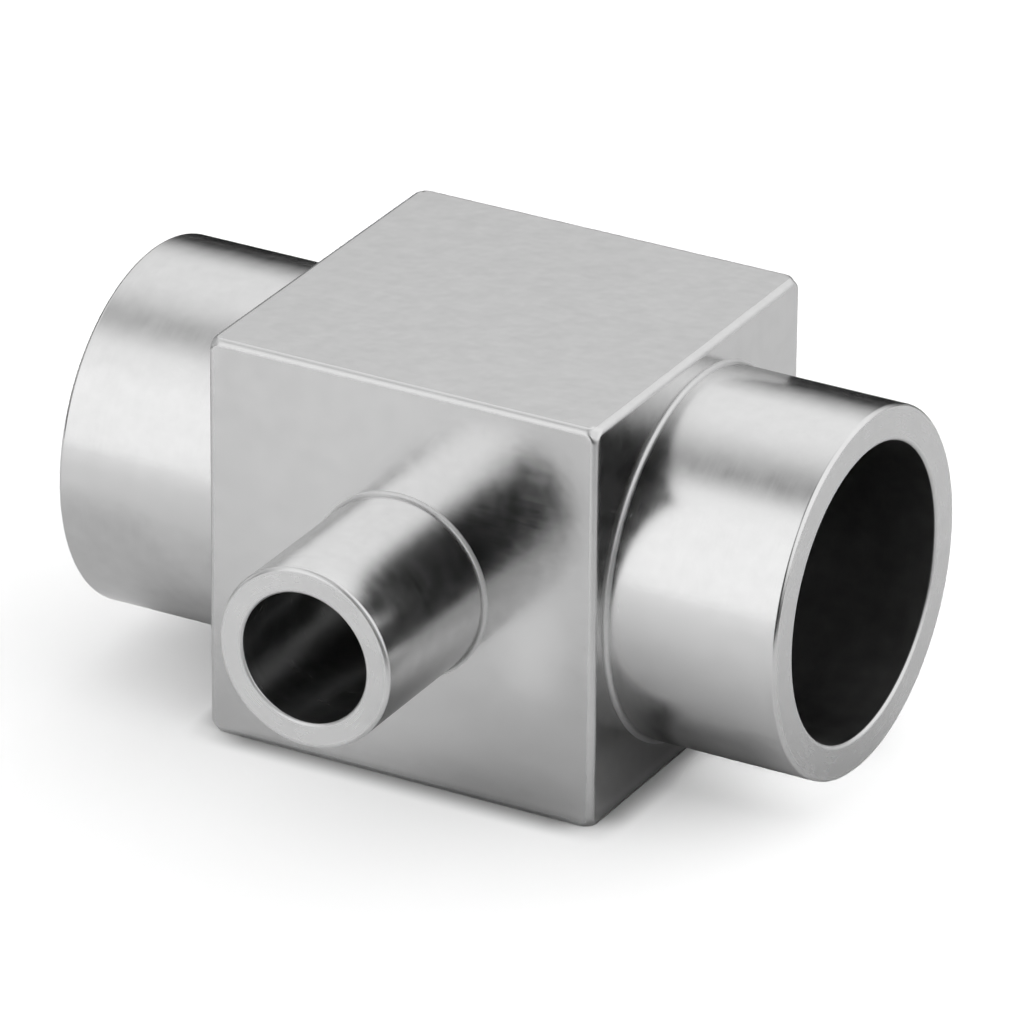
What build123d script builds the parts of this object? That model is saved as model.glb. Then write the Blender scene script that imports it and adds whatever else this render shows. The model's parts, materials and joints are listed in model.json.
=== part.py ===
from build123d import *
import os

# Reducing tube tee for butt welding, machined from one piece of stainless bar:
# a block with an equal stub of tube at each end of the run, and a smaller stub
# of tube square to them. The bores are those of the tubes and meet inside.
# Millimetres. The origin is where the axis of the run and that of the branch
# cross. +X is along the run, -Y is along the branch and +Z is up.

# Tube sizes
run_diameter = 12.70
run_wall = 1.24
branch_diameter = 6.35
branch_wall = 0.89

# Stubs, from the block's face to the squared end
run_stub_length = 6.25
branch_stub_length = 6.25

# Block: its length along the run, and how far its sides stand out past the run tube
block_length = 14.50
shoulder_side = 0.70
shoulder_height = 0.85

# Fine rounded edges of the block, and how far its corners are worn back by tumbling,
# measured towards the block's middle
edge_radius = 0.23
corner_wear = 0.28

# Hollow radius left by the turning tool where a stub meets the block
root_radius = 0.15
# Flat kept on a side of the block between that radius and a rounded edge
root_to_edge_flat = 0.04

# Chamfers that break the edges of the squared ends, outside and at the mouth of the bore
rim_chamfer = 0.10
mouth_chamfer = 0.08

# Smoothed edge where the branch's bore breaks into the run's bore
crossing_radius = 0.20

run_radius = run_diameter / 2
branch_radius = branch_diameter / 2
run_bore_radius = run_radius - run_wall
branch_bore_radius = branch_radius - branch_wall

block_side = run_radius + shoulder_side
block_height = run_radius + shoulder_height
block_end = block_length / 2
run_end = block_end + run_stub_length
branch_end = block_side + branch_stub_length


def bar_block():
    """Block with blunted corners and finely rounded edges."""
    corner_reach = Vector(block_end, block_side, block_height).length
    block = Box(2 * block_end, 2 * block_side, 2 * block_height)
    block &= Sphere(corner_reach - corner_wear)
    room = shoulder_side - root_radius - root_to_edge_flat
    return fillet(block.edges(), min(edge_radius, room))


def rod_along_run(radius, half_length):
    """Solid rod on the axis of the run, both ways from the origin."""
    return Rot(0, 90, 0) * Cylinder(radius, 2 * half_length)


def rod_along_branch(radius, length):
    """Solid rod on the axis of the branch, from the origin outwards."""
    start = (Align.CENTER, Align.CENTER, Align.MIN)
    return Rot(90, 0, 0) * Cylinder(radius, length, align=start)


def round_edges(part, radius, centre):
    """Edges of a part that are circles of this radius about this centre."""

    def matches(edge):
        same_radius = abs(edge.radius - radius) < 1e-4
        same_centre = (edge.arc_center - Vector(*centre)).length < 1e-3
        return same_radius and same_centre

    return part.edges().filter_by(GeomType.CIRCLE).filter_by(matches)


def crossing_edges(part):
    """Saddle-shaped edges where the bore of the branch breaks into that of the run."""

    def inside_run(edge):
        middle = edge.center()
        near_branch = abs(middle.X) < branch_radius and abs(middle.Z) < branch_radius
        near_wall = abs(middle.Y) < run_radius
        return near_branch and near_wall

    curved = part.edges().filter_by(GeomType.CIRCLE, reverse=True)
    return curved.filter_by(GeomType.LINE, reverse=True).filter_by(inside_run)


def solid_tee():
    """Outside of the tee, with no bores yet."""
    tee = bar_block()
    tee += rod_along_run(run_radius, run_end)
    tee += rod_along_branch(branch_radius, branch_end)
    roots = round_edges(tee, run_radius, (block_end, 0, 0))
    roots += round_edges(tee, run_radius, (-block_end, 0, 0))
    roots += round_edges(tee, branch_radius, (0, -block_side, 0))
    tee = fillet(roots, root_radius)
    rims = round_edges(tee, run_radius, (run_end, 0, 0))
    rims += round_edges(tee, run_radius, (-run_end, 0, 0))
    rims += round_edges(tee, branch_radius, (0, -branch_end, 0))
    return chamfer(rims, rim_chamfer)


def bored_tee():
    """Tee with both bores, their mouths and the place where they meet smoothed."""
    tee = solid_tee()
    tee -= rod_along_run(run_bore_radius, run_end)
    tee -= rod_along_branch(branch_bore_radius, branch_end)
    tee = fillet(crossing_edges(tee), crossing_radius)
    mouths = round_edges(tee, run_bore_radius, (run_end, 0, 0))
    mouths += round_edges(tee, run_bore_radius, (-run_end, 0, 0))
    mouths += round_edges(tee, branch_bore_radius, (0, -branch_end, 0))
    return chamfer(mouths, mouth_chamfer)


tee_body = bored_tee()
tee_body.label = "tee_body"

os.makedirs("parts", exist_ok=True)
export_step(tee_body, "parts/tee_body.step")
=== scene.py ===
import json
import math

import bpy
import numpy as np
from mathutils import Matrix, Vector


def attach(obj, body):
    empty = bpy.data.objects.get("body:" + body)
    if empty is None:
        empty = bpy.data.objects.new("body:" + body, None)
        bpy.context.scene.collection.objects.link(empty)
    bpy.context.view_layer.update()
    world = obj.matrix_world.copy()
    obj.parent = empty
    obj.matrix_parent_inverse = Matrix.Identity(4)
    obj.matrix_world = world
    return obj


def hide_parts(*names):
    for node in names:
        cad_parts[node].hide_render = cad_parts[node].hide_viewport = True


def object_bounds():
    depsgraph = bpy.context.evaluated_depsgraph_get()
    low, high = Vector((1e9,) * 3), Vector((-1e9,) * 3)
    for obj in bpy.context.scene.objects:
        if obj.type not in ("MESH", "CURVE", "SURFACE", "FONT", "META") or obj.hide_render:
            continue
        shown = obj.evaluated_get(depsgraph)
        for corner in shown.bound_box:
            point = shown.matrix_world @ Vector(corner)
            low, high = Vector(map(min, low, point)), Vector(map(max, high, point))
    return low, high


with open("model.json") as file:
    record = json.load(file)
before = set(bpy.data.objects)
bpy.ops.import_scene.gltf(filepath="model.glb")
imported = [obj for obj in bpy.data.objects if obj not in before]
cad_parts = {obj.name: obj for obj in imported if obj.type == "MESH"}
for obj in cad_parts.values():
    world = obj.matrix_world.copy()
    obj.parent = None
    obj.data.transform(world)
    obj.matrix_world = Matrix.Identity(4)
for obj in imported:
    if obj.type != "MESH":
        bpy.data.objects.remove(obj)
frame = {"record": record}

cad_low, cad_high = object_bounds()

# The object's own unit is the millimetre; the scene's is the metre
MM = 0.001
RADII = {mount["name"]: mount["dims"].get("r_mm") for mount in frame["record"]["mounts"]}

# Sizes that the frame gives, in millimetres. Those of the block are from its middle
RUN_END = cad_high.x / MM
BRANCH_END = -cad_low.y / MM
BLOCK_SIDE = cad_high.y / MM
BLOCK_HEIGHT = cad_high.z / MM
RUN_RADIUS = RADII["run_stub_right"]
RUN_BORE = RADII["run_bore"]
BRANCH_RADIUS = RADII["branch_stub"]
BRANCH_BORE = RADII["branch_bore"]

# Sizes of the block and of the tee's edges, in millimetres
BLOCK_END = 7.25
EDGE_RADIUS = 0.23
ROOT_RADIUS = 0.15
RIM_CHAMFER = 0.10
MOUTH_CHAMFER = 0.08
CROSSING_RADIUS = 0.20
# A deburred chamfer has no sharp corners: this is the round at each side of it
DEBURR_RADIUS = 0.12
# How far the block's corners are worn back towards its middle, and half the width of the blend
CORNER_WEAR = 0.28
WEAR_BLEND = 0.08

# Half sizes of the flats that the rounded edges leave on the block's faces
FLAT_END = BLOCK_END - EDGE_RADIUS
FLAT_SIDE = BLOCK_SIDE - EDGE_RADIUS
FLAT_HEIGHT = BLOCK_HEIGHT - EDGE_RADIUS
# How far a stub's section goes into its bore
MOUTH_DEPTH = 4 * MOUTH_CHAMFER
# Half length of the band of the run's bore that the branch breaks into
CROSSING_BAND = 3.5

# Steps along each side of the block's faces, and up each side of that band's window
SIDE_STEPS = 48
WINDOW_STEPS = 24
# Steps over each rounded edge
ROUND_STEPS = 8
# Steps from a face's middle or hole to its border, and how strongly they crowd at the border
FACE_STEPS = 14
FACE_CROWDING = 2
# Steps along the bores, from the rounded place where they cross
CROSSING_STEPS = 8

# Points that fall in one cell of this grid become one. The shift, a share of a cell, keeps
# round sizes off the borders between cells
MERGE_GRID = 1e-4
MERGE_SHIFT = 0.37

# Finishes, as places in the list of materials
SATIN, TURNED_RUN, TURNED_BRANCH, FACED_RUN, FACED_BRANCH, BORED_RUN, BORED_BRANCH = range(7)


class Skin:
    """A closed surface put together from grids of points that share their borders."""

    def __init__(self):
        self.points = []
        self.normals = []
        self.quads = []
        self.finishes = []
        self.count = 0

    def add(self, points, normals, finish):
        """Adds a grid, rows by columns by 3, with the surface's own normal at each point.

        The faces are wound so that most of them face the way that the normals do."""
        normals = np.broadcast_to(normals, points.shape)
        rows, columns = points.shape[:2]
        places = np.arange(rows * columns).reshape(rows, columns)
        quads = np.stack([places[:-1, :-1], places[:-1, 1:], places[1:, 1:], places[1:, :-1]], -1)
        quads = quads.reshape(-1, 4)
        across = points[1:, 1:] - points[:-1, :-1]
        along = points[1:, :-1] - points[:-1, 1:]
        facing = (np.cross(across, along) * normals[:-1, :-1]).sum()
        if facing < 0:
            quads = quads[:, ::-1]
        self.points.append(points.reshape(-1, 3))
        self.normals.append(normals.reshape(-1, 3))
        self.quads.append(quads + self.count)
        self.finishes.append(np.full(len(quads), finish))
        self.count += rows * columns

    def build(self, name, materials):
        """One mesh object: points in the same place become one.

        A quad with two equal corners becomes a triangle, and one with only two different corners is
        left out."""
        points = np.concatenate(self.points)
        normals = np.concatenate(self.normals)
        quads = np.concatenate(self.quads)
        finishes = np.concatenate(self.finishes)
        cells = np.round(points / MERGE_GRID + MERGE_SHIFT).astype(np.int64)
        _, first, same = np.unique(cells, axis=0, return_index=True, return_inverse=True)
        same = same.reshape(-1)
        merged = np.zeros((len(first), 3))
        np.add.at(merged, same, normals)
        merged /= np.linalg.norm(merged, axis=1, keepdims=True)
        corners = [tuple(dict.fromkeys(quad)) for quad in same[quads].tolist()]
        kept = [number for number, corner in enumerate(corners) if len(corner) > 2]
        mesh = bpy.data.meshes.new(name)
        faces = [corners[number] for number in kept]
        mesh.from_pydata((points[first] * MM).tolist(), [], faces)
        mesh.polygons.foreach_set("material_index", finishes[kept].astype(np.int32))
        mesh.polygons.foreach_set("use_smooth", np.ones(len(kept), bool))
        for material in materials:
            mesh.materials.append(material)
        mesh.update()
        mesh.normals_split_custom_set_from_vertices(merged.tolist())
        return placed(name, mesh)


def placed(name, data):
    """An object of this mesh or camera, in the scene."""
    piece = bpy.data.objects.new(name, data)
    bpy.context.scene.collection.objects.link(piece)
    return piece


def rounded_path(corners, radii):
    """Points and normals of straight runs joined by tangent arcs.

    An arc of radius r round a corner that turns by t starts r tan(t/2) before the corner. It turns
    the normal evenly from that of one run to that of the next. The normal is to the left of the
    path."""
    corners = np.array(corners, float)
    runs = np.diff(corners, axis=0)
    runs /= np.linalg.norm(runs, axis=1, keepdims=True)
    lefts = np.stack([-runs[:, 1], runs[:, 0]], 1)
    points = [corners[:1]]
    normals = [lefts[:1]]
    for number, radius in enumerate(radii):
        before, after = lefts[number], lefts[number + 1]
        turn = math.atan2(before[0] * after[1] - before[1] * after[0], before @ after)
        side = math.copysign(1, turn)
        start = corners[number + 1] - runs[number] * radius * math.tan(abs(turn) / 2)
        centre = start + side * radius * before
        angles = np.linspace(0, turn, ROUND_STEPS + 1)
        turned = np.stack([before[0] * np.cos(angles) - before[1] * np.sin(angles),
                           before[0] * np.sin(angles) + before[1] * np.cos(angles)], 1)
        points.append(centre - side * radius * turned)
        normals.append(turned)
    points.append(corners[-1:])
    normals.append(lefts[-1:])
    return np.concatenate(points), np.concatenate(normals)


def about_run(along, radius, angles):
    """Points at a distance along +X and from the run's axis, at angles from +Y towards +Z."""
    along, radius, angles = np.broadcast_arrays(along, radius, angles)
    return np.stack([along, radius * np.cos(angles), radius * np.sin(angles)], -1)


def about_branch(along, radius, angles):
    """Points at a distance along -Y and from the branch's axis, at angles from +X towards +Z."""
    along, radius, angles = np.broadcast_arrays(along, radius, angles)
    return np.stack([radius * np.cos(angles), -along, radius * np.sin(angles)], -1)


def turned_path(place, path, angles):
    """Points and normals of a path of (along, radius) that place carries round an axis."""
    points, normals = path
    return (place(points[:, :1], points[:, 1:], angles[None]),
            place(normals[:, :1], normals[:, 1:], angles[None]))


def crowded(half):
    """Places along a side, from -half to half, that crowd towards both ends.

    They are half times the sine of evenly spaced angles."""
    return half * np.sin(np.linspace(-math.pi / 2, math.pi / 2, SIDE_STEPS + 1))


def closed(loop):
    """A loop with its first point repeated at its end."""
    return np.concatenate([loop, loop[:1]])


def side_loop(half_width, half_height):
    """The border of a rectangle, once round from its lower right corner and up."""
    across = crowded(half_width)[:-1]
    upward = crowded(half_height)[:-1]
    right = np.stack([np.full(SIDE_STEPS, half_width), upward], 1)
    top = np.stack([-across, np.full(SIDE_STEPS, half_height)], 1)
    return closed(np.concatenate([right, top, -right, -top]))


def between(start, end, steps, crowding=1):
    """Rows of points in line from those of start to those of end.

    A row's share of the way is 1 - (1 - s)^crowding, with s evenly spaced. So above 1 the rows
    crowd at the end."""
    shares = 1 - (1 - np.linspace(0, 1, steps + 1)) ** crowding
    return start + (end - start) * shares.reshape(-1, *[1] * start.ndim)


def loop_angles(loop):
    """Angle of each point of a loop about its middle, without a jump."""
    return np.unwrap(np.arctan2(loop[:, 1], loop[:, 0]))


def with_third(flat, third, axis=2):
    """Points of two numbers with a third put in, as the number along the given axis."""
    columns = [flat[..., 0], flat[..., 1]]
    columns.insert(axis, np.broadcast_to(third, flat.shape[:-1]))
    return np.stack(columns, -1)


def worn(points, normals):
    """Points and normals of the block with its corners worn back to a ball about its middle.

    u is the direction from the middle, and g is how far a point stands outside the ball. The point
    moves by h(g) against u: h is 0 up to g = -w, g from g = w on, and (g + w)^2 / 4w between. With
    h' its slope, the normal n becomes (1 - h') n + h' (u n) u, made 1 long."""
    reach = np.linalg.norm(points, axis=-1, keepdims=True)
    outward = points / reach
    outside = reach - math.hypot(BLOCK_END, BLOCK_SIDE, BLOCK_HEIGHT) + CORNER_WEAR
    slope = np.clip((outside + WEAR_BLEND) / (2 * WEAR_BLEND), 0, 1)
    move = np.where(outside > WEAR_BLEND, outside, WEAR_BLEND * slope ** 2)
    facing = (outward * normals).sum(-1, keepdims=True)
    turned = (1 - slope) * normals + slope * facing * outward
    return points - move * outward, turned / np.linalg.norm(turned, axis=-1, keepdims=True)


def add_worn(skin, points, normals):
    """Adds a grid of the block to its surface, with the worn corners."""
    skin.add(*worn(points, normals), SATIN)


def flat_face(skin, points, axis, level):
    """Adds a flat grid of the block, of points of two numbers at a level along an axis."""
    normal = np.zeros(3)
    normal[axis] = math.copysign(1, level)
    add_worn(skin, with_third(points, level, axis), normal)


def face_window(skin, loop, radius, axis, level):
    """Adds a flat face with a round hole for a stub and the hollow at the stub's root.

    Each point of the face's border is joined to the hole's edge at its own angle."""
    angles = loop_angles(loop)
    hole = (radius + ROOT_RADIUS) * np.stack([np.cos(angles), np.sin(angles)], 1)
    flat_face(skin, between(hole, loop, FACE_STEPS, FACE_CROWDING), axis, level)


def block(skin):
    """The block: its six faces, the rounded edges between them, and its worn corners."""
    for side in (1, -1):
        face_window(skin, side_loop(FLAT_SIDE, FLAT_HEIGHT), RUN_RADIUS, 0, side * BLOCK_END)
    face_window(skin, side_loop(FLAT_END, FLAT_HEIGHT), BRANCH_RADIUS, 1, -BLOCK_SIDE)
    back = np.stack(np.meshgrid(crowded(FLAT_END), crowded(FLAT_HEIGHT)), -1)
    flat_face(skin, back, 1, BLOCK_SIDE)

    turn = np.linspace(0, math.pi / 2, ROUND_STEPS + 1)
    outline, outward = upright_edges(skin, turn)
    flat_edges(skin, turn, outline, outward)


def upright_edges(skin, turn):
    """The block's four rounded upright edges. Gives its outline, and the normals along that.

    The outline has the same points along each side as the faces have."""
    heights = crowded(FLAT_HEIGHT)
    outline = []
    outward = []
    for quarter in range(4):
        angles = turn + quarter * math.pi / 2
        normal = np.stack([np.cos(angles), np.sin(angles)], 1)
        centre = np.sign(normal[ROUND_STEPS // 2]) * (FLAT_END, FLAT_SIDE)
        corner = centre + EDGE_RADIUS * normal
        rows = np.broadcast_to(corner, (len(heights), *corner.shape))
        add_worn(skin, with_third(rows, heights[:, None]), with_third(normal, 0))
        following = np.array([-math.sin(angles[-1]), math.cos(angles[-1])])
        reach = FLAT_END if quarter % 2 == 0 else FLAT_SIDE
        straight = corner[-1] + following * (reach + crowded(reach)[1:-1, None])
        outline += [corner, straight]
        outward += [normal, np.broadcast_to(normal[-1], straight.shape)]
    return closed(np.concatenate(outline)), closed(np.concatenate(outward))


def flat_edges(skin, turn, outline, outward):
    """The rounded edges round the block's top and bottom, and these two faces.

    Such an edge is the block's outline moved inwards by r(1 - cos t) and up by r sin t."""
    inset = EDGE_RADIUS * (1 - np.cos(turn))
    rise = FLAT_HEIGHT + EDGE_RADIUS * np.sin(turn)
    ring = outline - outward * inset[:, None, None]
    leaning = outward * np.cos(turn)[:, None, None]
    inner = between(np.zeros_like(ring[-1]), ring[-1], FACE_STEPS, FACE_CROWDING)
    for side in (1, -1):
        add_worn(skin, with_third(ring, side * rise[:, None]),
                 with_third(leaning, side * np.sin(turn)[:, None]))
        flat_face(skin, inner, 2, side * BLOCK_HEIGHT)


def stub_path(block_face, end, outside, bore):
    """Corners and radii of a stub's section, from its hollow root to the wall of its bore."""
    corners = [(block_face, outside + 2 * ROOT_RADIUS), (block_face, outside),
               (end - RIM_CHAMFER, outside), (end, outside - RIM_CHAMFER),
               (end, bore + MOUTH_CHAMFER), (end - MOUTH_CHAMFER, bore), (end - MOUTH_DEPTH, bore)]
    return corners, [ROOT_RADIUS] + 4 * [DEBURR_RADIUS]


def stub(skin, place, angles, path, finishes):
    """A stub of tube: its section carried round its axis, in bands of one finish each.

    The first finish ends halfway round the arc from the rim's chamfer to the squared end, and the
    second halfway round the arc from the mouth's chamfer to the bore."""
    points, normals = rounded_path(*path)
    arc = ROUND_STEPS + 1
    borders = (1, 1 + 2 * arc + arc // 2, 1 + 4 * arc + arc // 2, len(points) - 1)
    for first, last, finish in zip(borders[:-1], borders[1:], finishes):
        band = slice(first, last + 1)
        skin.add(*turned_path(place, (points[band], normals[band]), angles), finish)


def run_wall(skin, along, angles):
    """Adds a grid of the wall of the run's bore, whose normals are towards its axis."""
    along, angles = np.broadcast_arrays(along, angles)
    skin.add(about_run(along, RUN_BORE, angles), about_run(0, -1, angles), BORED_RUN)


def tee_skin():
    """The whole surface of the tee, in millimetres."""
    skin = Skin()
    block(skin)
    run_angles = loop_angles(side_loop(FLAT_SIDE, FLAT_HEIGHT))
    branch_angles = loop_angles(side_loop(FLAT_END, FLAT_HEIGHT))

    run_path = stub_path(BLOCK_END, RUN_END, RUN_RADIUS, RUN_BORE)
    bored = np.array([[CROSSING_BAND], [RUN_END - MOUTH_DEPTH]])
    for side in (1, -1):
        stub(skin, lambda along, radius, angles: about_run(along, radius, angles) * (side, 1, 1),
             run_angles, run_path, (TURNED_RUN, FACED_RUN, BORED_RUN))
        run_wall(skin, side * bored, run_angles[None])

    branch_path = stub_path(BLOCK_SIDE, BRANCH_END, BRANCH_RADIUS, BRANCH_BORE)
    branch_finishes = (TURNED_BRANCH, FACED_BRANCH, BORED_BRANCH)
    stub(skin, about_branch, branch_angles, branch_path, branch_finishes)
    crossing(skin, crossing_window(skin, run_angles), branch_angles)
    return skin


def crossing_window(skin, run_angles):
    """The band of the run's bore that the branch breaks into, but for a window round the crossing.

    Gives the window's border on the unrolled wall: the distance along the run, and the angle up
    from the branch's axis. It has as many steps as the loop of the branch's side of the block, and
    the middles of its right side and of that loop's are as far along them."""
    # The middle of the third side of the loop round the run is towards the branch
    middle = 5 * SIDE_STEPS // 2
    first = middle - WINDOW_STEPS // 2
    last = middle + WINDOW_STEPS // 2
    columns = 2 * SIDE_STEPS - WINDOW_STEPS
    band = np.linspace(-CROSSING_BAND, CROSSING_BAND, columns + 1)
    rest = np.concatenate([run_angles[last:-1], run_angles[:first + 1] + 2 * math.pi])
    run_wall(skin, band[:, None], rest[None])

    rise = (math.pi - run_angles[first:last + 1])[::-1]
    right = np.stack([np.full(WINDOW_STEPS, CROSSING_BAND), rise[:-1]], 1)
    top = np.stack([band[:0:-1], np.full(columns, rise[-1])], 1)
    left = np.stack([np.full(WINDOW_STEPS, -CROSSING_BAND), rise[:0:-1]], 1)
    bottom = np.stack([band[:-1], np.full(columns, rise[0])], 1)
    window = np.concatenate([right, top, left, bottom])
    return closed(np.roll(window, (SIDE_STEPS - WINDOW_STEPS) // 2, axis=0))


def crossing(skin, window, branch_angles):
    """The place where the bores meet, with its edge rounded by a ball that rolls inside the metal.

    The ball's middle stays a radius outside both bores: at (R + q) from the axis of the run and
    (r + q) from that of the branch. It touches each bore's wall in line with that bore's axis. The
    rounded edge turns evenly from one touching point to the other."""
    ball = CROSSING_RADIUS
    flat = np.stack([window[:, 0], RUN_BORE * np.sin(window[:, 1])], 1)
    turns = loop_angles(flat)
    turns += 2 * math.pi * np.round((branch_angles[0] - turns[0]) / (2 * math.pi))

    reach = BRANCH_BORE + ball
    height = reach * np.sin(turns)
    depth = np.sqrt((RUN_BORE + ball) ** 2 - height ** 2)
    centre = np.stack([reach * np.cos(turns), -depth, height], 1)
    on_branch = about_branch(0, -1, turns)
    on_run = np.stack([np.zeros_like(depth), depth, -height], 1) / (RUN_BORE + ball)
    opening = np.arccos((on_branch * on_run).sum(1))
    share = np.linspace(0, 1, ROUND_STEPS + 1)[:, None, None]
    normals = (np.sin((1 - share) * opening[:, None]) * on_branch
               + np.sin(share * opening[:, None]) * on_run) / np.sin(opening)[:, None]
    skin.add(centre + ball * normals, normals, BORED_BRANCH)

    mouth = np.full_like(depth, BRANCH_END - MOUTH_DEPTH)
    along = between(mouth, depth, CROSSING_STEPS)
    angles = between(branch_angles, turns, CROSSING_STEPS)
    skin.add(about_branch(along, BRANCH_BORE, angles), about_branch(0, -1, angles), BORED_BRANCH)

    touch = centre + ball * on_run
    edge = np.stack([touch[:, 0], np.arctan2(touch[:, 2], -touch[:, 1])], 1)
    sheet = between(edge, window, CROSSING_STEPS)
    run_wall(skin, sheet[..., 0], math.pi - sheet[..., 1])


class Value:
    """A number that a shader works out. An expression on it adds the Math nodes that it needs."""

    def __init__(self, tree, socket):
        self.tree = tree
        self.socket = socket

    def math(self, operation, *numbers):
        """The result of one Math node."""
        return self.tree.node("ShaderNodeMath", numbers, {"operation": operation})

    def __add__(self, other):
        return self.math("ADD", self, other)

    __radd__ = __add__

    def __sub__(self, other):
        return self.math("SUBTRACT", self, other)

    def __rsub__(self, other):
        return self.math("SUBTRACT", other, self)

    def __mul__(self, other):
        return self.math("MULTIPLY", self, other)

    def __truediv__(self, other):
        return self.math("DIVIDE", self, other)

    def __abs__(self):
        return self.math("ABSOLUTE", self)

    def __pow__(self, other):
        return self.math("POWER", self, other)

    def at_least(self, other):
        """The larger of the two."""
        return self.math("MAXIMUM", self, other)

    def at_most(self, other):
        """The smaller of the two."""
        return self.math("MINIMUM", self, other)

    def smooth(self, low, high):
        """0 up to low, 1 from high on, and a smooth step between them. low may be the larger."""
        if low > high:
            return 1 - self.smooth(high, low)
        borders = {"Value": self, "From Min": low, "From Max": high}
        return self.tree.node("ShaderNodeMapRange", borders, {"interpolation_type": "SMOOTHSTEP"})

    def band(self, start, full, fade, end):
        """1 from full to fade, 0 up to start and from end on, and smooth steps between them."""
        return self.smooth(start, full) * self.smooth(end, fade)


class Tree:
    """The nodes of one shader."""

    def __init__(self, owner):
        owner.use_nodes = True
        self.nodes = owner.node_tree.nodes
        self.links = owner.node_tree.links
        self.nodes.clear()

    def node(self, kind, values=(), settings=None, output=0):
        """Adds a node of a kind, with its settings and its sockets' values or links.

        Gives one output, if it has any."""
        made = self.nodes.new(kind)
        for name, setting in (settings or {}).items():
            setattr(made, name, setting)
        pairs = values.items() if isinstance(values, dict) else enumerate(values)
        for name, value in pairs:
            if isinstance(value, Value):
                self.links.new(value.socket, made.inputs[name])
            else:
                made.inputs[name].default_value = value
        if made.outputs:
            return Value(self, made.outputs[output])

    def parts(self, vector):
        """The three numbers of a vector."""
        apart = self.nodes.new("ShaderNodeSeparateXYZ")
        self.links.new(vector.socket, apart.inputs[0])
        return [Value(self, output) for output in apart.outputs]

    def noise(self, vector, stretch, detail):
        """Noise of about 0 to 1, its grain as many per millimetre as stretch says for each axis."""
        spread = self.node("ShaderNodeVectorMath", {0: vector, 1: stretch},
                           {"operation": "MULTIPLY"})
        return self.node("ShaderNodeTexNoise", {"Vector": spread, "Scale": 1.0, "Detail": detail,
                                                "Roughness": 0.5})

    def mix(self, share, first, second):
        """The first colour where share is 0, and the second where it is 1.

        A Mix node takes its share in socket 0 and its colours in 6 and 7, and gives one in 2."""
        sockets = {0: share, 6: first, 7: second}
        return self.node("ShaderNodeMix", sockets, {"data_type": "RGBA"}, output=2)

    def path(self, output):
        """What is known of the ray that meets this shader: one output of Light Path."""
        return self.node("ShaderNodeLightPath", output=output)

    def mirrored_once(self):
        """1 for a ray that the metal has mirrored just once: its depth is 1. 0 for others."""
        return self.path("Is Glossy Ray") * self.path("Glossy Depth").smooth(1.6, 1.4)

    def mirrored_again(self):
        """1 for a ray that the metal has mirrored more than once. 0 for others."""
        return self.path("Is Glossy Ray") * self.path("Glossy Depth").smooth(1.4, 1.6)


class Spot:
    """Where a point is on the object, in millimetres: place, and its numbers x, y and z."""

    def __init__(self, tree):
        self.tree = tree
        metres = tree.node("ShaderNodeTexCoord", output="Object")
        self.place = tree.node("ShaderNodeVectorMath", {0: metres, "Scale": 1 / MM},
                               {"operation": "SCALE"})
        self.x, self.y, self.z = tree.parts(self.place)

    def noise(self, stretch, detail):
        """Noise by the place."""
        return self.tree.noise(self.place, stretch, detail)

    def from_run(self):
        """Distance from the run's axis."""
        return (self.y * self.y + self.z * self.z) ** 0.5

    def from_branch(self):
        """Distance from the branch's axis."""
        return (self.x * self.x + self.z * self.z) ** 0.5


def grey(level):
    """A colour of equal parts."""
    return (level, level, level, 1)


# Tool marks: how many there are in a millimetre, across them and along them
DRAWN_ACROSS = 24.0
DRAWN_ALONG = 0.5
TURNED_ACROSS = 26.0
TURNED_ALONG = 0.4
FACED_ACROSS = 11.0
FACED_ALONG = 0.4

# Noise in every finish: how many clouds, spots of mottling and grains there are in a millimetre
CLOUDS = 0.22
SPOTS = 1.6
GRAINS = 9.0

# How deep the tool marks are at a bump of 1, in millimetres
MARK_DEPTH = 0.002


def drawn_marks(spot):
    """Fine lines along the bar's length, as drawn and ground stock has."""
    return spot.noise((DRAWN_ALONG, DRAWN_ACROSS, DRAWN_ACROSS), detail=3.0)


def turned_run_marks(spot):
    """Fine rings round the run, one for each pass of the tool along it."""
    return spot.noise((TURNED_ACROSS, TURNED_ALONG, TURNED_ALONG), detail=3.0)


def turned_branch_marks(spot):
    """Fine rings round the branch."""
    return spot.noise((TURNED_ALONG, TURNED_ACROSS, TURNED_ALONG), detail=3.0)


def faced_marks(spot, radius, sideways):
    """Rings about an axis on a squared end, by the distance from that axis."""
    numbers = (radius * FACED_ACROSS, sideways * FACED_ALONG, spot.z * FACED_ALONG)
    rings = spot.tree.node("ShaderNodeCombineXYZ", numbers)
    return spot.tree.noise(rings, (1, 1, 1), detail=1.0)


def faced_run_marks(spot):
    """Rings on the squared ends of the run."""
    return faced_marks(spot, spot.from_run(), spot.y)


def faced_branch_marks(spot):
    """Rings on the squared end of the branch."""
    return faced_marks(spot, spot.from_branch(), spot.x)


# How much rougher tumbling has left the block's edges, and what its corners have on top of that
EDGE_RUB = 0.22
CORNER_RUB = 0.24
# The same for the run's stubs at their roots, near those and at their rims, for the branch at its
# root and at its rim, and for the squared ends at their rims and mouths
RUN_ROOT_RUB = 0.22
RUN_NEAR_RUB = 0.05
RUN_RIM_RUB = 0.03
BRANCH_ROOT_RUB = 0.28
BRANCH_RIM_RUB = 0.13
END_RUB = 0.15
# How far off each rub starts and how far off it is full, in millimetres: at an edge, at a root,
# near a root, at a rim and at a mouth
EDGE_REACH = (0.35, 0.05)
ROOT_REACH = (1.3 * ROOT_RADIUS, 0.8 * ROOT_RADIUS)
NEAR_REACH = (2.5, 0)
RIM_REACH = (0.20, 0.12)
MOUTH_REACH = (0.18, 0.10)


def within(distance, border, reach):
    """1 close to a border on its inner side. reach says how far off that starts and is full."""
    start, full = reach
    return distance.smooth(border - start, border - full)


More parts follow.
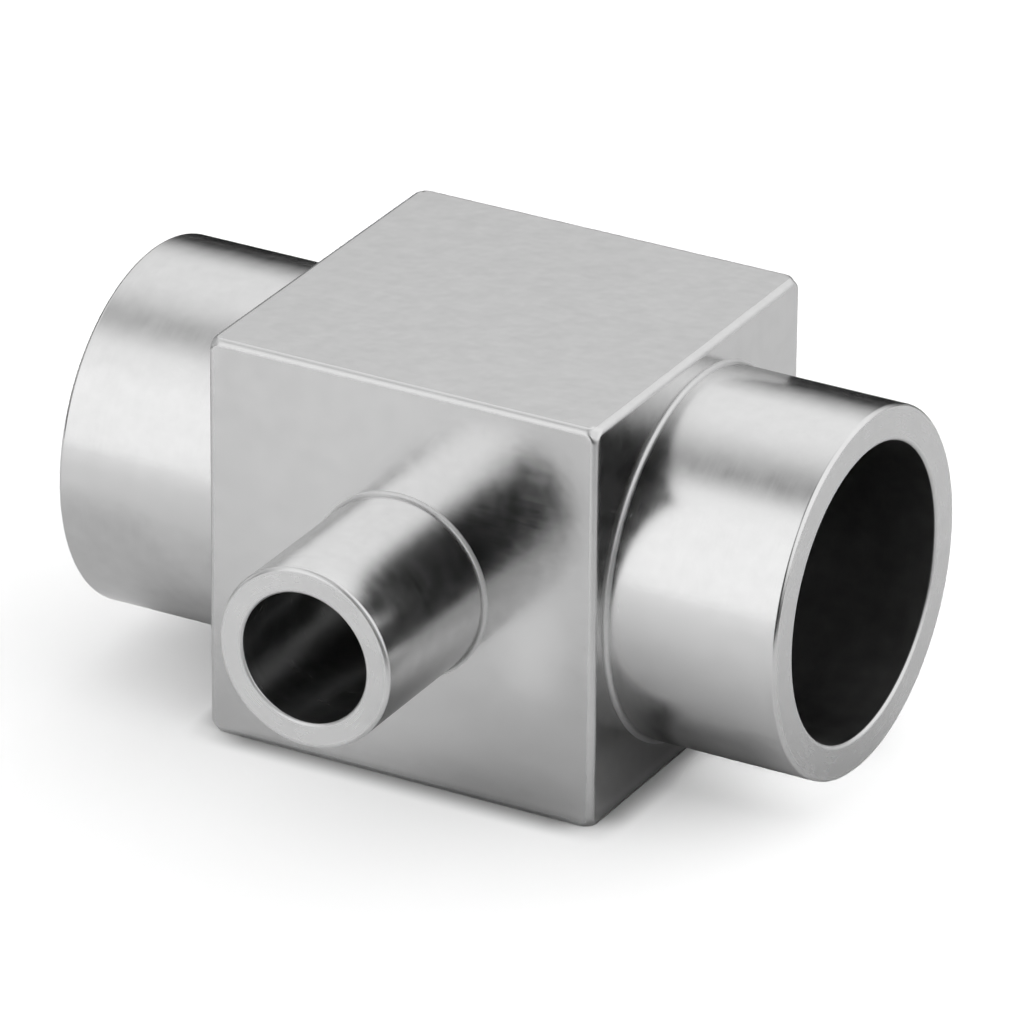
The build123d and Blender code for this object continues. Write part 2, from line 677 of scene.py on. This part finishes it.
def beyond(distance, border, reach):
    """1 close to a border on its outer side. reach says how far off that starts and is full."""
    start, full = reach
    return distance.smooth(border + start, border + full)


def rubbed_block(spot):
    """Roughness that the block's edges have more, and its corners most.

    Two of the three distances to the faces are small on an edge, and all three at a corner."""
    painted_dark_in_metal = within(abs(spot.x), BLOCK_END, EDGE_REACH)
    sides = within(abs(spot.y), BLOCK_SIDE, EDGE_REACH)
    flats = within(abs(spot.z), BLOCK_HEIGHT, EDGE_REACH)
    edges = (painted_dark_in_metal * sides).at_least(painted_dark_in_metal * flats).at_least(sides * flats)
    return edges * EDGE_RUB + painted_dark_in_metal * sides * flats * CORNER_RUB


def rubbed_run(spot):
    """Roughness that a stub of the run has more at its hollow root, near it and at its rim."""
    along = abs(spot.x)
    near = beyond(along, BLOCK_END, NEAR_REACH) * RUN_NEAR_RUB
    root = beyond(along, BLOCK_END, ROOT_REACH) * RUN_ROOT_RUB
    return root + near + within(along, RUN_END, RIM_REACH) * RUN_RIM_RUB


def rubbed_branch(spot):
    """Roughness that the branch has more at its hollow root and at its rim."""
    along = abs(spot.y)
    root = beyond(along, BLOCK_SIDE, ROOT_REACH) * BRANCH_ROOT_RUB
    return root + within(along, BRANCH_END, RIM_REACH) * BRANCH_RIM_RUB


def rubbed_end(radius, outside, bore):
    """Roughness that a squared end has more close to its rim and to the mouth of its bore."""
    rim = within(radius, outside, RIM_REACH)
    return rim.at_least(beyond(radius, bore, MOUTH_REACH)) * END_RUB


def rubbed_run_end(spot):
    """Roughness that the squared ends of the run have more."""
    return rubbed_end(spot.from_run(), RUN_RADIUS, RUN_BORE)


def rubbed_branch_end(spot):
    """Roughness that the squared end of the branch has more."""
    return rubbed_end(spot.from_branch(), BRANCH_RADIUS, BRANCH_BORE)


def shifted(start, *shifts):
    """A number moved by noises: each shift is a noise and how much it moves the number."""
    for noise, amount in shifts:
        start = start + (noise - 0.5) * amount
    return start


def steel(name, marks_of, roughness, bump, waves, dull=0.79, bright=0.87, rub_of=None):
    """Bare stainless steel: a metal with fine tool marks, a slow change of sheen and rubbed edges.

    marks_of gives the tool marks as noise drawn out along the cut. They shift the colour and the
    roughness a little and give the bump. waves is the height in millimetres of the faint waves that
    handwork leaves. dull and bright are the levels that the colour lies between. rub_of gives how
    much rougher tumbling has left the edges and corners."""
    material = bpy.data.materials.new(name)
    tree = Tree(material)
    spot = Spot(tree)
    marks = marks_of(spot)
    cloud = spot.noise((CLOUDS, CLOUDS, CLOUDS), detail=2.0)
    mottle = spot.noise((SPOTS, SPOTS, SPOTS), detail=1.0)
    grain = spot.noise((GRAINS, GRAINS, GRAINS), detail=2.0)
    tone = shifted(0.5, (marks, 0.5), (cloud, 0.6), (mottle, 1.2), (grain, 0.3))
    sheen = shifted(roughness, (cloud, 0.06), (mottle, 0.10), (marks, 0.08))
    if rub_of:
        sheen = sheen + rub_of(spot)
    colour = tree.mix(tone.at_least(0).at_most(1), grey(dull), grey(bright))
    height = marks * 0.7 + grain * 0.3
    wavy = tree.node("ShaderNodeBump", {"Strength": 1.0, "Distance": waves * MM, "Height": mottle})
    relief = tree.node("ShaderNodeBump", {"Strength": bump, "Distance": MARK_DEPTH * MM,
                                          "Height": height, "Normal": wavy})
    shader = tree.node("ShaderNodeBsdfPrincipled", {"Base Color": colour, "Metallic": 1.0,
                                                    "Roughness": sheen, "Normal": relief})
    tree.node("ShaderNodeOutputMaterial", {"Surface": shader})
    return material


def steels():
    """The finishes of the tee, in the order of their places. The bores are darker inside: their
    colour has painted shade.
    """
    return [
        steel("block_satin", drawn_marks, roughness=0.19, bump=0.10, waves=0.0040,
              rub_of=rubbed_block),
        steel("turned_run", turned_run_marks, roughness=0.19, bump=0.12, waves=0.0012,
              rub_of=rubbed_run),
        steel("turned_branch", turned_branch_marks, roughness=0.20, bump=0.12, waves=0.0012,
              rub_of=rubbed_branch),
        steel("faced_run", faced_run_marks, roughness=0.26, bump=0.02, waves=0.0010,
              rub_of=rubbed_run_end),
        steel("faced_branch", faced_branch_marks, roughness=0.26, bump=0.02, waves=0.0010,
              rub_of=rubbed_branch_end),
        # Painted shade: the bores' dull and bright levels are low, so they look dark inside
        steel("bored_run", turned_run_marks, roughness=0.38, bump=0.4, waves=0.0010,
              dull=0.29, bright=0.36),
        steel("bored_branch", turned_branch_marks, roughness=0.25, bump=0.20, waves=0.0005,
              dull=0.66, bright=0.76),
    ]


# Radius of the floor in metres, and the corners of its rim
FLOOR_RADIUS = 0.9
FLOOR_CORNERS = 96

# How pale the floor is to the camera, and its painted light beneath the right stub, seen by the
# camera only
SEEN_LEVEL = 1.00
PAINTED_LIGHT_UNDER_RIGHT = 1.60
# How pale it is where the metal mirrors it once: for the most part, far off, in a strip in front of
# the block's right side, and in a patch in front of the branch's right side. These levels are
# painted light and shade, seen only in the metal
MIRRORED_LEVEL = 1.35
FAR_LEVEL = 1.55
STRIP_LEVEL = 1.12
PATCH_LEVEL = 1.75
# How pale it is where the metal mirrors it again, as painted light and shade: for the most part,
# and in front
AGAIN_LEVEL = 0.60
AGAIN_IN_FRONT = 1.05
# How much of the paler front is gone far off on the right, and how much darker the floor is past
# the block's right end where it is mirrored once: painted shade
RIGHT_LESS = 0.7
RIGHT_DARKER = 0.12
# How pale it is in full painted shade, and where it is painted dark far off in what the metal
# mirrors
SHADED_LEVEL = 0.1
DARK_LEVEL = 0.02

# Painted shades in the floor's colour, from 0 for none to 1 for full. Beside the block, and how
# much less that is at its corners
CONTACT_SHADE = 0.70
CORNER_LESS = 0.50
# Under the left stub, and what its mirror image has more
LEFT_SHADE = 0.12
LEFT_MIRRORED = 0.25
# Only mirrored: along the block's foot, under the right stub, what the pool there has more, before
# the left stub, before the block's left side, and what that has more close to it
FOOT_SHADE = 0.17
RIGHT_SHADE = 0.56
POOL_SHADE = 0.20
STUB_SHADE = 0.26
FRONT_SHADE = 0.07
CLOSE_SHADE = 0.14


def floor_paleness(tree, x, y, slant):
    """How pale the floor is before its painted shade, with painted light and shade of its own. The
    borders of its regions are in millimetres.

    Mirrored once, it is paler than to the camera, paler still far off and in a patch, darker in a
    strip, and a little darker past the block's right end. Mirrored again, it is paler in front, but
    less so farther off on the right. These levels are painted light and shade. To the camera it has
    painted light beneath the right stub."""
    once = tree.mirrored_once()
    # Painted light and shade on the floor, seen only in what the metal mirrors
    off_right = x.smooth(5, 10) * y.smooth(-17, -21)
    in_front = y.smooth(-8, -14) * (1 - off_right * RIGHT_LESS)
    pale = tree.mix(in_front, grey(AGAIN_LEVEL), grey(AGAIN_IN_FRONT))
    pale = tree.mix(once, pale, grey(MIRRORED_LEVEL))
    pale = tree.mix(once * y.smooth(-35, -70), pale, grey(FAR_LEVEL))
    strip = slant.band(7.5, 10.5, 10.8, 14) * y.smooth(-10, -17)
    pale = tree.mix(once * strip, pale, grey(STRIP_LEVEL))
    patch = slant.band(7.2, 8.8, 9.2, 10.4) * y.band(-23, -19, -16, -13)
    pale = tree.mix(once * patch, pale, grey(PATCH_LEVEL))
    pale = tree.mix(once * x.smooth(8, 18) * RIGHT_DARKER, pale, grey(0))
    seen = tree.path("Is Camera Ray")
    pale = tree.mix(seen, pale, grey(SEEN_LEVEL))
    # Painted light: to the camera the floor beneath the right stub is paler
    under_right = x.band(7.0, 7.6, 10, 14) * y.band(-3.2, -0.4, 1, 3)
    return tree.mix(seen * under_right, pale, grey(PAINTED_LIGHT_UNDER_RIGHT))


def floor_shade(tree, x, y, slant):
    """How much painted shade the floor's colour has, from 0 to 1, beside the block and under its
    stubs.

    The painted shade beside the block and the one under the left stub are seen by the camera too;
    the rest only in the metal. The borders of the shades are in millimetres."""
    once = tree.mirrored_once()
    past_end = (abs(x) - BLOCK_END).at_least(0)
    past_side = (abs(y) - BLOCK_SIDE).at_least(0)
    beside = (past_end * past_end + past_side * past_side) ** 0.5
    corner = abs(x).smooth(BLOCK_END - 1.6, BLOCK_END + 0.2)
    corner = corner * abs(y).smooth(BLOCK_SIDE - 1.6, BLOCK_SIDE + 0.2)
    contact = beside.smooth(1.1, -0.1) * (CONTACT_SHADE - corner * CORNER_LESS)
    foot = beside.smooth(3.5, 0.5) * y.smooth(-6, -7) * x.smooth(7.5, 5.5) * FOOT_SHADE
    under_left = x.band(-16, -11, -9, -7) * abs(y).smooth(9, 4)
    under_left = under_left * (once * LEFT_MIRRORED + LEFT_SHADE)
    under_right = x.band(6.8, 8.0, 10, 12.8) * y.band(-7.2, -4.2, 2, 5)
    pool = x.smooth(9.2, 10.2) * y.smooth(-2.5, -0.5)
    under_right = under_right * (pool * POOL_SHADE + RIGHT_SHADE)
    before_stub = slant.smooth(-5.4, -8.4) * y.band(-26, -12, -3, 0) * STUB_SHADE
    before_block = slant.band(-8.5, -5, -4, 0.5) * y.smooth(-6, -8)
    before_block = before_block * (y.smooth(-20, -12) * CLOSE_SHADE + FRONT_SHADE)
    mirrored = foot.at_least(under_right).at_least(before_stub).at_least(before_block) * once
    return contact.at_least(under_left).at_least(mirrored)


def floor():
    """A pale floor that the block stands on.

    To the camera it is white where nothing shades it, and it darkens just beside the block, by real
    shading and by painted shade; beneath the right stub it has painted light. In the metal it is
    pale, with painted light and shade, and it is painted dark far off at the back on the left and
    in front on the right. slant stays the same along the level part of a ray from the viewer that
    the block's front mirrors."""
    material = bpy.data.materials.new("floor_pale")
    tree = Tree(material)
    spot = Spot(tree)
    x, y = spot.x, spot.y
    slant = x - y * 0.55
    # Painted dark reflection: far off at the back on the left and in front on the right, the floor
    # is dark in what the metal mirrors
    back_left = (y * 0.86 - x * 0.50).smooth(20, 40) * x.smooth(25, 0)
    front_right = (x * 0.54 - y * 0.84).smooth(38, 60) * x.smooth(-5, 25)
    painted_dark_in_metal = back_left.at_least(front_right) * tree.path("Is Glossy Ray")
    pale = floor_paleness(tree, x, y, slant)
    # Painted shade darkens the floor's colour towards SHADED_LEVEL
    pale = tree.mix(floor_shade(tree, x, y, slant), pale, grey(SHADED_LEVEL))
    colour = tree.mix(painted_dark_in_metal, pale, grey(DARK_LEVEL))
    matt = tree.node("ShaderNodeBsdfDiffuse", {"Color": colour})
    tree.node("ShaderNodeOutputMaterial", {"Surface": matt})

    angles = np.linspace(0, 2 * math.pi, FLOOR_CORNERS, endpoint=False)
    rim = FLOOR_RADIUS * np.stack([np.cos(angles), np.sin(angles)], 1)
    mesh = bpy.data.meshes.new("floor")
    mesh.from_pydata(with_third(rim, cad_low.z).tolist(), [], [list(range(FLOOR_CORNERS))])
    mesh.materials.append(material)
    piece = placed("floor", mesh)


# Strengths of the lights that the metal mirrors, of the space below the floor's edge, and of
# the dark
FRONT_STRENGTH = 1.02
BACK_ON_LEFT = 0.82
BACK_ON_RIGHT = 0.50
SIDE_STRENGTH = 0.8
HIGH_STRENGTH = 0.95
BELOW_STRENGTH = 0.7
DARK_STRENGTH = 0.004
# What the back light gains higher up: for the left stub, for the nearer stub on top of that, and on
# the right
HIGHER_ON_LEFT = -0.03
HIGHER_IF_NEARER = 0.12
HIGHER_ON_RIGHT = 0.42
# How much darker the front light's band is, and what the metal mirrors again on the right in front
BAND_DARKER = 0.13
AGAIN_DARKER = 0.88
# Strengths of the light on the floor: from low all round, and from everywhere
LOW_STRENGTH = 6.9
EVEN_STRENGTH = 0.48


def front_light(x, y, z, nearer):
    """The soft light that fills the left half of the front, up to about 60 degrees.

    It has a faint darker band near its upper edge, but not in what the nearer stub mirrors."""
    turn = x / ((x * x + y * y) ** 0.5).at_least(0.001)
    front = (turn - z * 0.08).smooth(0.27, -0.12) * (turn + z * 0.65).smooth(-0.73, -0.47)
    front = front * z.smooth(0.945, 0.80) * y.smooth(0.05, -0.05) * FRONT_STRENGTH
    return front * (1 - (1 - nearer) * z.band(0.60, 0.76, 0.84, 0.875) * BAND_DARKER)


def back_light(x, y, z, nearer):
    """The soft light that fills the back from overhead down.

    It fades out low on the left, and less so on the right."""
    higher = nearer * HIGHER_IF_NEARER + HIGHER_ON_LEFT
    left = z.smooth(0.04, 0.58) * (BACK_ON_LEFT + z.smooth(0.45, 0.55) * higher)
    right = BACK_ON_RIGHT + z.smooth(0.0, 0.5) * HIGHER_ON_RIGHT
    on_right = x.smooth(0.06, 0.36)
    return (y - x * 0.39).smooth(-0.36, 0.58) * (left * (1 - on_right) + right * on_right)


def studio():
    """A plain white studio. The metal mirrors its soft lights and the dark between them.

    A direction is (x, y, z): x to the right along the run, y away from the viewer and z up. The
    borders of the lights are such numbers. The left stub mirrors directions with x near -0.475,
    and the nearer right stub those with x near -0.42. Two low lights stand at the sides. A broad
    high light on the right shows only where the metal mirrors it once, and what is mirrored again
    is darker on the right in front. Below the floor's edge it is fairly light, and the rest is
    dark. The floor itself is lit from low all round, a little more from the right and the back."""
    world = bpy.data.worlds.new("studio")
    bpy.context.scene.world = world
    world.cycles.sampling_method = "NONE"
    tree = Tree(world)
    seen = tree.path("Is Camera Ray")
    by_metal = tree.path("Glossy Depth").at_most(1)
    x, y, z = tree.parts(tree.node("ShaderNodeTexCoord", output="Generated"))
    nearer = x.smooth(-0.475, -0.42)
    sides = abs(x).smooth(0.92, 0.97) * z.smooth(0.42, 0.30) * SIDE_STRENGTH
    high = (x * 0.75 + y * 0.25 + z * 0.62).smooth(0.48, 0.80) * HIGH_STRENGTH
    light = front_light(x, y, z, nearer).at_least(back_light(x, y, z, nearer))
    light = light.at_least(sides).at_least(high * tree.mirrored_once()) + DARK_STRENGTH
    right_front = x.smooth(0.15, 0.40) * y.smooth(0.20, -0.05)
    light = light * (1 - tree.mirrored_again() * right_front * AGAIN_DARKER)
    below = z.smooth(0.0, -0.02)
    light = light * (1 - below) + below * BELOW_STRENGTH
    low = (1 - z * 1.68).at_least(0) * (1 + x * 0.32 + y * 0.12) * LOW_STRENGTH
    light = light * by_metal + (low + EVEN_STRENGTH) * (1 - by_metal)
    strength = light * (1 - seen) + seen
    background = tree.node("ShaderNodeBackground", {"Color": grey(1), "Strength": strength})
    tree.node("ShaderNodeOutputWorld", {"Surface": background})


def camera():
    """The photograph's camera: a long lens in front on the right, above the tee, turned a little.

    Its distance, the point that it looks at, its sensor and its lens are in millimetres, and its
    clipping is in metres."""
    azimuth = math.radians(28.908)
    elevation = math.radians(25.831)
    roll = math.radians(0.501)
    distance = 334.8
    aim = Vector((0.278, 0.012, -0.255))
    back = Vector((math.sin(azimuth) * math.cos(elevation),
                   -math.cos(azimuth) * math.cos(elevation),
                   math.sin(elevation)))
    level = Vector((math.cos(azimuth), math.sin(azimuth), 0))
    upright = back.cross(level)
    right = level * math.cos(roll) + upright * math.sin(roll)
    up = back.cross(right)
    data = bpy.data.cameras.new("camera")
    data.sensor_width = 36
    data.lens = 354.31
    data.clip_start = 0.01
    data.clip_end = 10
    viewer = placed("camera", data)
    facing = Matrix((right, up, back)).transposed().to_4x4()
    viewer.matrix_world = Matrix.Translation((aim + back * distance) * MM) @ facing
    bpy.context.scene.camera = viewer


tee = tee_skin().build("tee_finish", steels())
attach(tee, "root")
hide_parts("tee_body")

floor()
studio()
camera()
bpy.context.scene.view_settings.view_transform = "Standard"
